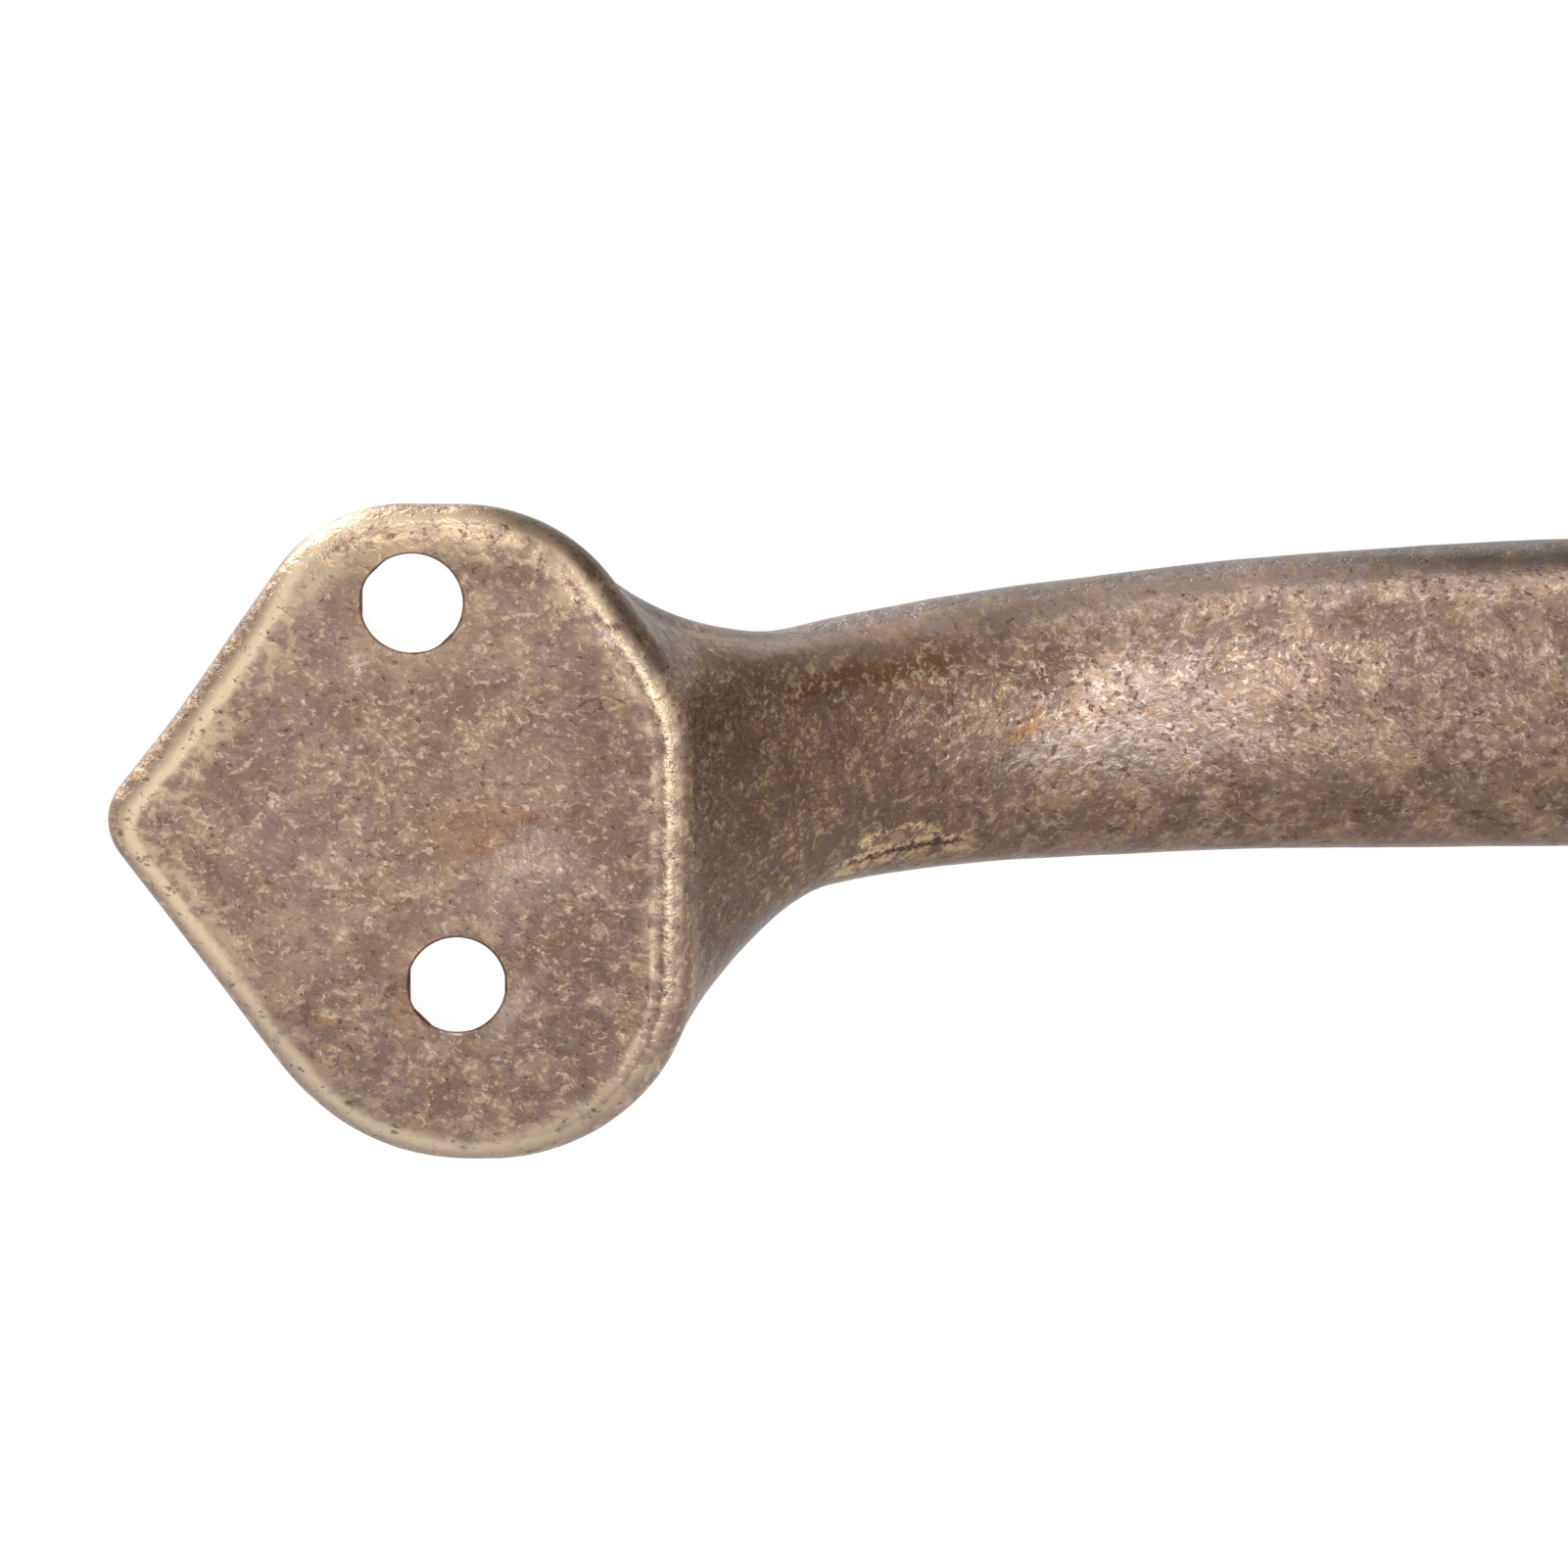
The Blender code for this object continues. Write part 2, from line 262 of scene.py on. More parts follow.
def holeCutters():  # all the drills in one mesh: a chamfered lip at the back, a countersink at the front
    shape = bmesh.new()
    thick, chamfer = pull["footThickness"], pull["lipChamfer"]
    sides = pull["holeSides"]
    for side in (1, -1):
        for inboard, height, diameter, flats in pull["holes"]:
            hole, head = diameter / 2, pull["headDiameter"] / 2
            cone = (head - hole) / math.tan(math.radians(pull["headAngle"] / 2))
            profile = [
                (hole + chamfer * 2, -chamfer), (hole, chamfer), (hole, thick - cone),
                (head, thick), (head, thick + pull["headRoom"]),
            ]
            loops = []
            for radius, depth in profile:
                loop = []
                for i in range(sides):
                    angle = math.tau * i / sides
                    squeeze = 1.0  # worn flats in the drilled part only
                    for flat, share in flats if radius < head else ():
                        squeeze = min(squeeze, share / max(math.cos(angle - math.radians(flat)), 0.1))
                    loop.append(shape.verts.new((
                        side * (pull["length"] / 2 - inboard + radius * squeeze * math.cos(angle)),
                        -depth,
                        height + radius * squeeze * math.sin(angle),
                    )))
                loops.append(loop)
            shape.faces.new(loops[0])
            shape.faces.new(loops[-1][::-1])
            for a, b in zip(loops, loops[1:]):
                for i in range(sides):
                    k = (i + 1) % sides
                    shape.faces.new((a[i], b[i], b[k], a[k]))
    bmesh.ops.recalc_face_normals(shape, faces=shape.faces[:])
    mesh = bpy.data.meshes.new("drills")
    shape.to_mesh(mesh)
    shape.free()
    drills = bpy.data.objects.new("drills", mesh)
    bpy.context.scene.collection.objects.link(drills)
    return drills


def castingPiece():
    points, faces, reaches, turns = wholeShape()
    points += unevenness(points)
    mesh = bpy.data.meshes.new("bowPullCasting")
    mesh.from_pydata(points.tolist(), [], faces)
    piece = bpy.data.objects.new("bowPullCasting", mesh)
    bpy.context.scene.collection.objects.link(piece)
    drills = holeCutters()
    cut = piece.modifiers.new("screw holes", "BOOLEAN")
    cut.operation, cut.solver, cut.object = "DIFFERENCE", "EXACT", drills
    depsgraph = bpy.context.evaluated_depsgraph_get()
    drilled = bpy.data.meshes.new_from_object(piece.evaluated_get(depsgraph))
    piece.modifiers.clear()
    piece.data = drilled
    drilled.name = "bowPullCasting"
    bpy.data.objects.remove(drills)
    print("casting drilled:", len(drilled.vertices), "points")

    tree = kdtree.KDTree(len(points))
    for i, point in enumerate(points):
        tree.insert(point, i)
    tree.balance()
    nearest = [tree.find(vertex.co)[1] for vertex in drilled.vertices]
    for name, values in (("rimReach", reaches[nearest] * 1000), ("turn", turns[nearest])):
        drilled.attributes.new(name, "FLOAT", "POINT").data.foreach_set("value", values.astype(np.float32))
    return piece


casting = castingPiece()
mesh = casting.data
mesh.shade_smooth()
mesh.set_sharp_from_angle(angle=math.radians(pull["sharpFrom"]))
print("triangles:", sum(len(face.vertices) - 2 for face in mesh.polygons))


class Wire:  # one socket of a material, so that arithmetic on it reads as arithmetic
    def __init__(self, finish, socket):
        self.finish, self.socket = finish, socket

    def __add__(self, other):
        return self.finish.maths("ADD", self, other)

    def __sub__(self, other):
        return self.finish.maths("SUBTRACT", self, other)

    def __rsub__(self, other):
        return self.finish.maths("SUBTRACT", other, self)

    def __mul__(self, other):
        return self.finish.maths("MULTIPLY", self, other)

    def __truediv__(self, other):
        return self.finish.maths("DIVIDE", self, other)

    def __pow__(self, other):
        return self.finish.maths("POWER", self, other)

    def __neg__(self):
        return self.finish.maths("MULTIPLY", self, -1.0)

    def __abs__(self):
        return self.finish.maths("ABSOLUTE", self)

    __radd__, __rmul__ = __add__, __mul__

    def sway(self, size):  # a noise swung about zero
        return (self - 0.5) * size


class Finish:  # the nodes of one material, or of the world
    def __init__(self, owner):
        self.owner = owner
        owner.use_nodes = True
        self.tree = owner.node_tree
        self.tree.nodes.clear()

    def add(self, kind, settings=None, sockets=None, out=0):
        node = self.tree.nodes.new(kind)
        for key, value in (settings or {}).items():
            setattr(node, key, value)
        for key, value in (sockets or {}).items():
            target = node.inputs[key]
            if isinstance(value, Wire):
                self.tree.links.new(value.socket, target)
            elif target.type == "RGBA":
                target.default_value = (*value, 1.0)
            else:
                target.default_value = value
        return Wire(self, node.outputs[out]) if node.outputs else None

    def maths(self, operation, *values):
        return self.add("ShaderNodeMath", {"operation": operation}, dict(enumerate(values)))

    def attribute(self, name):
        return self.add("ShaderNodeAttribute", {"attribute_name": name}, out="Fac")

    def inMillimetres(self):
        return self.scaled(self.add("ShaderNodeTexCoord", out="Object"), (1000.0, 1000.0, 1000.0))

    def parts(self, vector):  # a vector's X, Y and Z
        split = self.add("ShaderNodeSeparateXYZ", {}, {0: vector}).socket.node
        return [Wire(self, output) for output in split.outputs]

    def scaled(self, where, factors):
        return self.add("ShaderNodeVectorMath", {"operation": "MULTIPLY"}, {0: where, 1: factors})

    def moved(self, where, by):
        return self.add("ShaderNodeVectorMath", {"operation": "ADD"}, {0: where, 1: by})

    def length(self, vector):
        return self.add("ShaderNodeVectorMath", {"operation": "LENGTH"}, {0: vector}, out="Value")

    def most(self, first, *others):
        for other in others:
            first = self.maths("MAXIMUM", first, other)
        return first

    def ramp(self, value, low, high):  # smooth step from 0 at low to 1 at high
        return self.add("ShaderNodeMapRange", {"interpolation_type": "SMOOTHSTEP"},
                        {"Value": value, "From Min": low, "From Max": high})

    def bell(self, value, middle, width):
        return self.maths("EXPONENT", -(((value - middle) / width) ** 2))

    def mix(self, share, first, second):
        return self.add("ShaderNodeMix", {"data_type": "RGBA"}, {0: share, 6: first, 7: second}, out=2)

    def tint(self, first, second):
        return self.add("ShaderNodeMix", {"data_type": "RGBA", "blend_type": "MULTIPLY"},
                        {0: 1.0, 6: first, 7: second}, out=2)

    def noise(self, where, scale, detail, rough, curl=0.0):
        return self.add("ShaderNodeTexNoise", {}, {
            "Vector": where, "Scale": scale, "Detail": detail, "Roughness": rough, "Distortion": curl})

    def spot(self, where, centre, radii, lean, ragged):  # 1 inside a ragged ellipsoid
        inside = self.add("ShaderNodeMapping", {"vector_type": "TEXTURE"}, {
            "Vector": where, "Location": centre, "Rotation": (0.0, math.radians(lean), 0.0), "Scale": radii})
        return 1 - self.ramp(self.length(inside) + ragged, 0.55, 1.25)


patina = {
    # colours
    "brown": (0.312, 0.199, 0.135), "mauve": (0.362, 0.245, 0.201), "grey": (0.360, 0.263, 0.225),
    "olive": (0.235, 0.152, 0.094), "umber": (0.130, 0.074, 0.048), "black": (0.040, 0.024, 0.020),
    "rust": (0.310, 0.160, 0.105), "scab": (0.190, 0.085, 0.060), "reflectedDark": (0.240, 0.136, 0.066),
    "tan": (0.500, 0.355, 0.255), "ochre": (0.440, 0.296, 0.180), "brass": (0.860, 0.690, 0.555),
    "silver": (0.830, 0.705, 0.615), "gold": (0.820, 0.630, 0.420), "orange": (0.500, 0.260, 0.130),
    "gilt": (0.770, 0.570, 0.330), "lilac": (0.600, 0.480, 0.430), "slate": (0.350, 0.275, 0.250),
    # what the colour is multiplied by in one region: the warm and cool tints vary at random, the recess tint is
    # patina and painted shade, the others are painted shade
    "bare": (1.0, 1.0, 1.0), "warmTint": (1.000, 0.980, 0.910), "coolTint": (0.985, 0.990, 1.040),
    "recessTint": (0.430, 0.385, 0.350), "underShadeTint": (0.700, 0.665, 0.630), "gripShadeTint": (0.860, 0.855, 0.850),
    "grazeTint": (0.500, 0.525, 0.540), "rimOuterShadeTint": (0.830, 0.795, 0.725), "lowSideShadeTint": (0.840, 0.855, 0.890),
    "flankShadeTint": (0.370, 0.355, 0.345), "middleShadeTint": (0.740, 0.745, 0.740),
    # noises from 7 mm clouds to 0.1 mm grain: stretched, shift, scale per mm, detail, roughness, distortion
    "stretch": (0.8, 0.72, 1.0),
    "noises": {
        "clouds": (False, (0.0, 0.0, 0.0), 0.15, 3.0, 0.5, 0.0),
        "blotches": (False, (7.0, 3.0, 11.0), 0.55, 4.0, 0.6, 0.0),
        "tones": (False, (3.0, 17.0, 5.0), 0.85, 4.0, 0.6, 0.0),
        "flecks": (True, (15.2, 2.0, 29.0), 1.3, 4.0, 0.6, 1.2),
        "grain": (True, (0.0, 0.0, 0.0), 1.7, 4.0, 0.62, 0.6),
        "dust": (True, (23.0, 0.0, 5.0), 3.4, 2.0, 0.6, 0.3),
        "chips": (True, (5.0, 11.0, 17.0), 2.9, 2.0, 0.55, 0.6),
    },
    # marks of this one pull, near the +X foot, with painted highlights and shade among them: place and radii in
    # mm, lean in degrees, colour, share
    "stainsAndPaintedLight": [
        ((51.2, 0.0, 7.9), (3.2, 2.0, 1.6), 10, "tan", 0.72),
        ((47.3, 0.0, 2.0), (2.9, 2.0, 1.7), 10, "tan", 0.52),
        ((56.2, 0.0, -4.5), (2.4, 2.0, 1.7), 0, "tan", 0.50),
        ((55.4, 0.0, 10.4), (1.7, 2.0, 1.2), 45, "tan", 0.60),
        ((44.8, 0.0, -5.0), (2.3, 2.0, 2.6), 0, "umber", 0.50),
        ((58.8, 0.0, 2.0), (2.6, 2.0, 1.6), 0, "umber", 0.18),
        ((48.7, 0.0, 0.0), (1.9, 2.0, 1.4), 10, "orange", 0.42),
        # painted highlight on the foot's face
        ((46.4, 0.0, -1.5), (2.2, 2.0, 1.3), 25, "lilac", 0.34),
        ((50.9, 0.0, -8.5), (1.0, 2.0, 0.4), 35, "orange", 0.5),
        ((47.2, 0.0, -7.4), (0.4, 2.0, 1.5), -30, "lilac", 0.45),
        ((23.9, -14.6, 1.1), (1.0, 2.5, 0.22), -12, "orange", 0.7),
        # this and the next two: painted highlight on the grip
        ((25.2, -14.0, -0.3), (2.0, 2.5, 0.8), 20, "lilac", 0.75),
        ((20.8, -15.5, 1.0), (5.0, 2.5, 2.3), 8, "lilac", 0.42),
        ((20.5, -15.9, -0.9), (5.5, 2.5, 1.1), 6, "lilac", 0.34),
        ((33.5, -9.4, 1.5), (1.3, 2.0, 0.9), 30, "rust", 0.7),
        ((36.0, -7.0, 0.6), (0.9, 2.0, 0.5), -30, "rust", 0.6),
        ((31.0, -11.5, 3.2), (2.0, 2.0, 0.5), 0, "orange", 0.3),
        # this and the next: painted shade where the grip's highlight is too bright
        ((25.0, -14.0, 2.8), (1.7, 3.0, 1.1), 10, "umber", 0.62),
        ((18.2, -16.2, 2.5), (2.2, 3.0, 1.0), 5, "umber", 0.42),
        # painted highlight on the grip
        ((22.6, -15.0, -0.2), (2.2, 2.5, 0.8), 8, "lilac", 0.50),
        ((12.8, -17.4, -1.2), (2.2, 2.5, 0.9), 0, "tan", 0.40),
        ((21.5, -14.5, 5.4), (4.5, 4.0, 0.8), 5, "tan", 0.60),
    ],
    "scars": [
        ((49.2, 0.0, 0.5), (0.65, 2.0, 0.5), 10, "scab", 0.62),
        ((48.3, 0.0, -0.7), (0.7, 2.0, 0.4), 30, "orange", 0.6),
        ((48.0, 0.0, -0.5), (0.35, 2.0, 0.2), 30, "gilt", 0.7),
        ((46.8, 0.0, 0.7), (0.6, 2.0, 0.35), -10, "orange", 0.5),
        ((46.3, 0.0, 0.5), (0.3, 2.0, 0.25), 20, "scab", 0.6),
        ((54.8, 0.0, -7.9), (0.55, 2.0, 0.4), 0, "orange", 0.9),
        ((54.6, 0.0, -7.7), (0.4, 2.0, 0.25), 0, "gold", 0.8),
        ((51.9, 0.0, -6.9), (0.45, 2.0, 1.3), 0, "scab", 0.7),
        ((51.5, 0.0, -7.6), (0.6, 2.0, 0.9), 0, "orange", 0.65),
        ((26.3, -13.6, 0.7), (1.0, 2.5, 0.45), 25, "orange", 0.8),
        ((21.3, -15.5, 0.8), (0.6, 2.5, 0.18), -20, "orange", 0.6),
        ((43.9, -0.3, 11.1), (0.8, 2.0, 1.3), 30, "umber", 0.55),
        ((43.0, -0.2, 8.5), (0.4, 1.5, 0.22), -30, "scab", 0.85),
        ((43.3, -0.2, 8.1), (0.5, 1.5, 0.25), -40, "lilac", 0.7),
        ((38.3, -2.5, 7.3), (0.12, 2.5, 0.8), 8, "scab", 0.6),
        ((37.2, -3.5, 6.8), (0.10, 2.5, 0.7), 4, "scab", 0.5),
    ],
    "dent": ((44.0, 0.0, 5.2), (0.5, 2.0, 0.28), 25),
    "flawPlace": (31.4, -11.0, -3.68), "flawLoop": (1.35, 0.42),  # the loop's half length and half height
    "metallic": 0.84, "shineMetallic": 0.13, "roughness": 0.34, "shineRoughness": -0.08, "grainRoughness": 0.25,
    "specular": 0.12, "reliefUnit": 0.001,
}


def surfacePlaces(f):  # in millimetres: along from the middle of the pull, depth from the feet's backs
    m = SimpleNamespace(where=f.inMillimetres())
    side, outward, m.height = f.parts(m.where)
    m.depth, m.along = -outward, abs(side)
    m.reach = f.attribute("rimReach")
    m.turn = abs(f.attribute("turn"))
    return m


def addNoises(f, m):
    stretched = f.scaled(m.where, patina["stretch"])
    for name, (stretch, shift, *settings) in patina["noises"].items():
        setattr(m, name, f.noise(f.moved(stretched if stretch else m.where, shift), *settings))


def addRegions(f, m):
    m.free = f.ramp(m.turn, 0.24, 0.62)  # the foot's edge away from the neck
    m.onBack = 1 - f.ramp(m.turn, 0.30, 0.42)
    m.onGrip = 1 - f.ramp(m.along, 25.0, 33.0)
    m.onFoot = f.ramp(m.along, 39.5, 41.0)
    m.topLobe = f.ramp(m.height, 8.0, 12.0) * f.ramp(m.along, 43.0, 46.0)
    m.low = f.ramp(m.height, -1.0, -7.5) * m.onFoot
    m.corner = f.ramp(m.height, -6.5, -9.5) * (1 - f.ramp(m.along, 45.0, 48.5))
    frayed = m.along + m.tones.sway(3.0) + f.ramp(m.height, 0.5, 3.5) * 3.4
    m.recess = (f.ramp(frayed, 24.5, 32.5) * 0.60 + f.ramp(m.along, 30.0, 38.5) * 0.40) * (
        1 - f.ramp(m.along, 39.2, 40.5)) * m.onBack  # the neck's hollow side, darker with patina and with painted shade
    m.wall = f.ramp(m.turn, 0.22, 0.34) * (1 - f.ramp(m.turn, 0.66, 0.78)) * (1 - f.ramp(m.along, 37.0, 39.5))
    m.graze = f.ramp(m.turn + f.ramp(m.along, 15.0, 7.0) * 0.09, 0.36, 0.46) * f.ramp(m.height, 1.0, 3.0) * (
        1 - f.ramp(m.along, 38.0, 41.0))
    m.rimGraze = f.ramp(m.reach, 0.6, 1.5) * m.free * f.ramp(m.height, -2.0, 2.0) * f.ramp(m.along, 40.0, 43.0)


def addRim(f, m):  # a rubbed crest with a painted highlight, tan haze inside it, a green-brown band outside it
    waver = m.blotches.sway(1.0) + m.grain.sway(0.9)
    atNeck = 1 - m.free
    past = m.reach + waver * (0.25 + m.free * 0.3) - m.topLobe * 0.75 + m.corner * 0.36
    width = 0.28 + m.free * 0.22 + m.topLobe * 0.14 + m.low * 0.12 + m.corner * 0.28
    m.crest = f.bell(f.most(past, past * -1.6), 0.0, width)  # fades faster inward than outward
    m.inside = f.ramp(m.reach + waver * 1.8, -1.7, -0.3) * (1 - f.ramp(m.reach, 0.1, 0.5)) * (1 - m.low * 0.65)
    m.outside = f.ramp(m.reach, 0.35, 0.9) * (1 - f.ramp(m.reach, 1.2, 2.4))
    m.beside = f.bell(m.reach + waver * 0.3, -0.28, 0.14) * atNeck  # a dark line just inside the crest
    m.innerLine = f.bell(m.reach + waver * 0.40, -0.66, 0.24) * atNeck
    m.shoulder = f.bell(m.reach + waver * 0.2, 0.50, 0.26) * atNeck
    m.golden = f.most(
        f.ramp(m.clouds + m.blotches.sway(0.8), 0.56, 0.44) * 0.6,
        f.ramp(m.reach + waver * 2.0, -4.0, -0.8) * 0.9) * (1 - m.onGrip * 0.55)


def scratches(f, m):  # coarse and fine hairs: thin contour lines of one noise, broken up by another
    bent = f.noise(f.scaled(m.where, (0.7, 1.0, 1.1)), 1.3, 2.0, 0.6)
    broken = f.noise(f.moved(m.where, (0.0, 9.0, 23.0)), 2.0, 1.0, 0.5)
    hairs = (1 - f.ramp(abs(bent - 0.5), 0.004, 0.028)) * f.ramp(broken + m.tones.sway(0.25), 0.56, 0.66)
    bent = f.noise(f.scaled(f.moved(m.where, (13.0, 2.0, 0.0)), (0.7, 1.0, 1.0)), 2.6, 1.0, 0.5)
    broken = f.noise(f.moved(m.where, (4.0, 0.0, 41.0)), 3.2, 0.0, 0.5)
    hairsFine = (1 - f.ramp(abs(bent - 0.5), 0.01, 0.06)) * f.ramp(broken + m.blotches.sway(0.35), 0.54, 0.70)
    return hairs, hairsFine


def brownCoat(f, m):  # the dark coat under the scratches, with painted shade and a painted dark reflection at the neck
    rusty = f.ramp(m.grain + m.tones.sway(0.6), 0.52, 0.58) * f.ramp(m.clouds + m.blotches.sway(0.6), 0.42, 0.52)
    warm = f.ramp(m.grain + m.blotches.sway(0.7) + m.inside * 0.10, 0.51, 0.62)
    fleck = f.ramp(m.flecks + m.grain.sway(0.5) + m.blotches.sway(0.5) + m.inside * 0.06, 0.55, 0.62)
    m.pale = f.mix(m.golden, patina["tan"], patina["ochre"])
    coat = f.mix(f.ramp(m.clouds + m.tones.sway(1.1), 0.40, 0.60), patina["brown"], patina["mauve"])
    for share, tone in (
        (f.ramp(m.tones + m.clouds.sway(0.5), 0.55, 0.70) * 0.6, patina["grey"]),
        (f.ramp(m.blotches + m.grain.sway(0.5), 0.53, 0.37) * 0.4, patina["olive"]),
        (f.ramp(m.flecks + m.blotches.sway(0.3), 0.45, 0.35) * (0.34 + m.onGrip * 0.16), patina["umber"]),
        (f.ramp(m.grain + m.tones.sway(0.3), 0.44, 0.36) * 0.25, patina["slate"]),
        (m.outside * (0.5 - m.low * 0.4), patina["olive"]),
        (rusty * (0.22 + m.recess * 0.3), patina["rust"]),
        (warm * (0.42 - m.recess * 0.14), m.pale),
        (fleck * (0.46 + m.onGrip * 0.22) * (1 - m.recess * 0.55), m.pale),
    ):
        coat = f.mix(share, coat, tone)
    warmer = f.ramp(m.blotches + m.clouds.sway(0.6) + m.grain.sway(0.5), 0.47, 0.60)
    coat = f.tint(coat, f.mix(warmer, patina["coolTint"], patina["warmTint"]))

    m.ragged = m.grain.sway(3.2) + m.flecks.sway(2.5)
    worn = f.ramp(m.flecks + m.dust.sway(0.8), 0.38, 0.56) * 0.65 + 0.35
    for spot, radii, lean, tone, share in patina["stainsAndPaintedLight"]:
        coat = f.mix(f.spot(m.where, spot, radii, lean, m.ragged) * worn * share, coat, patina[tone])

    # at the neck a painted dark reflection runs below the grip's upper edge, the side walls get a painted grey
    # sheen, and the recess is darker, with patina and painted shade, but for that edge
    neckReflectionZone = f.ramp(m.along, 28.4, 29.6) * (1 - f.ramp(m.along, 37.8, 39.5)) * m.onBack
    reflectionBandHeight = f.ramp(m.along, 34.0, 38.6) * 1.4 + 3.8
    darkReflectionBand = f.bell(m.height - reflectionBandHeight + m.flecks.sway(1.8), 0.0, 0.62)
    coat = f.mix(neckReflectionZone * darkReflectionBand * 0.95, coat, patina["reflectedDark"])
    # painted grey sheen on the neck's side walls
    coat = f.mix(m.wall * f.ramp(m.grain, 0.70, 0.36) * 0.7, coat, patina["slate"])
    edge = f.ramp(m.height - f.ramp(m.along, 28.0, 38.0) * 0.7 + m.flecks.sway(0.5), 4.45, 4.75) * (
        f.ramp(m.along, 27.0, 31.0) * (1 - f.ramp(m.along, 36.4, 38.8)))
    # patina and painted shade in the neck's recess, lighter at the grip's upper edge
    darker = m.recess * (1 - edge * 0.62) * (1 + neckReflectionZone * darkReflectionBand * 0.25)
    return f.tint(coat, f.mix(darker, patina["bare"], patina["recessTint"]))


def wornMetal(f, m, coat):  # bare metal on the rubbed rim, whose crest is also a painted highlight, in scratches and in chips
    hairs, hairsFine = scratches(f, m)
    speck = f.ramp(m.dust + m.grain.sway(0.5) + m.blotches.sway(0.3), 0.58, 0.76)
    chip = f.ramp(m.chips + m.blotches.sway(0.25) + m.grain.sway(0.35) + m.golden * 0.04, 0.63, 0.69)
    marks = f.most(
        speck * 0.5, chip * (0.46 - m.recess * 0.22 - m.onGrip * 0.08),
        hairs * (0.20 + m.onGrip * 0.24 - m.recess * 0.08), hairsFine * (0.22 + m.onGrip * 0.10))
    patchy = f.ramp(m.grain + m.free * 0.06 + m.blotches.sway(0.4), 0.32, 0.56) * (0.32 + m.low * 0.20)
    rubbedAndHighlit = m.crest * (patchy + 0.82 - m.low * 0.20) * (
        1 - (1 - m.free) * 0.36 - m.topLobe * 0.24 - m.low * 0.20)
    haze = f.most(m.inside * 0.58, m.innerLine * 1.0, m.shoulder * 0.62) * (
        f.ramp(m.grain + m.blotches.sway(0.5), 0.42, 0.58) * 0.75 + 0.25) * (1 - m.topLobe * 0.32)
    quiet = (1 - m.recess * 0.35) * (1 - f.most(m.wall * 0.6, m.graze * 0.8, m.rimGraze * 0.6))
    bright = f.most(marks * quiet, rubbedAndHighlit, haze)
    m.bright = bright * (1 - m.beside * f.ramp(m.grain, 0.44, 0.54) * 0.8)
    metal = f.mix(m.onGrip * 0.8, f.mix(m.golden, patina["brass"], patina["gold"]), patina["silver"])
    colour = f.mix(m.bright, coat, metal)
    colour = f.mix(m.beside * f.ramp(m.grain, 0.56, 0.44) * 0.6, colour, patina["umber"])
    scuffed = f.ramp(m.flecks + m.dust.sway(0.9), 0.42, 0.54) * 0.75 + 0.25
    for spot, radii, lean, tone, share in patina["scars"]:
        colour = f.mix(f.spot(m.where, spot, radii, lean, m.ragged * 0.5) * scuffed * share, colour, patina[tone])
    m.pits = f.ramp(m.dust + m.grain.sway(0.3), 0.40, 0.28)
    return f.mix(m.pits * 0.7, colour, patina["umber"])


def holeMarks(f, m, colour):  # a warm ring round each screw hole and a dark line at its lip
    lip = None
    for inboard, height, diameter, flats in pull["holes"]:
        axis = ((pull["length"] / 2 - inboard) * 1000, 0.0, height * 1000)
        offset = f.add("ShaderNodeVectorMath", {"operation": "DISTANCE"}, {
            0: f.add("ShaderNodeCombineXYZ", {}, {0: m.along, 1: 0.0, 2: m.height}), 1: axis}, out="Value")
        gap = offset - diameter * 500
        lip = gap if lip is None else f.maths("MINIMUM", lip, gap)
    nearBack = 1 - f.ramp(m.depth, 0.3, 0.9)
    ring = f.bell(lip + m.tones.sway(0.6), 0.6, 0.45) * nearBack * f.ramp(m.grain, 0.38, 0.56)
    colour = f.mix(ring * 0.5, colour, m.pale)
    return f.mix((1 - f.ramp(lip, 0.02, 0.10)) * nearBack * 0.7, colour, patina["black"])


def castingFlaw(f, m, colour):  # under the neck: a crinkled bright ridge, a crack beneath it, a loop above it
    flaw = f.add("ShaderNodeMapping", {"vector_type": "TEXTURE"}, {
        "Vector": m.where, "Location": patina["flawPlace"]})
    run, away, rise = f.parts(flaw)
    crinkle = f.noise(m.where, 3.0, 4.0, 0.75, 0.5).sway(1.1)
    local = (1 - f.ramp(abs(run), 2.5, 3.1)) * f.ramp(abs(away), 4.5, 3.0)
    line = rise + ((run + 0.8) ** 2) * 0.04 - 0.03 + crinkle * 0.8
    ridge = f.bell(line, 0.05, 0.14) * local
    m.crack = f.bell(line, -0.18, 0.08) * (1 - f.ramp(abs(run + 0.4), 1.6, 2.6)) * local
    below = f.bell(line, -0.50, 0.30) * local * f.ramp(m.grain, 0.38, 0.52)
    halfLength, halfHeight = patina["flawLoop"]
    loopAway = f.length(f.scaled(f.moved(flaw, (0.0, 0.0, -halfHeight)), (1 / halfLength, 0.0, 1 / halfHeight)))
    loop = f.bell(loopAway + crinkle * 1.8, 1.0, 0.26) * local
    inLoop = (1 - f.ramp(loopAway, 0.6, 0.9)) * local
    m.raised = f.most(ridge, loop) * f.ramp(m.dust + m.grain.sway(0.4), 0.36, 0.50)
    for share, tone in (
        (inLoop * 0.6, patina["rust"]),
        (below * 0.8, f.mix(f.ramp(m.dust, 0.44, 0.54), patina["orange"], patina["gilt"])),
        (inLoop * f.ramp(m.grain, 0.50, 0.60) * 0.7, patina["tan"]),
        (m.raised, patina["gilt"]),
        (m.crack * 0.9, patina["black"]),
    ):
        colour = f.mix(share, colour, tone)
    return colour


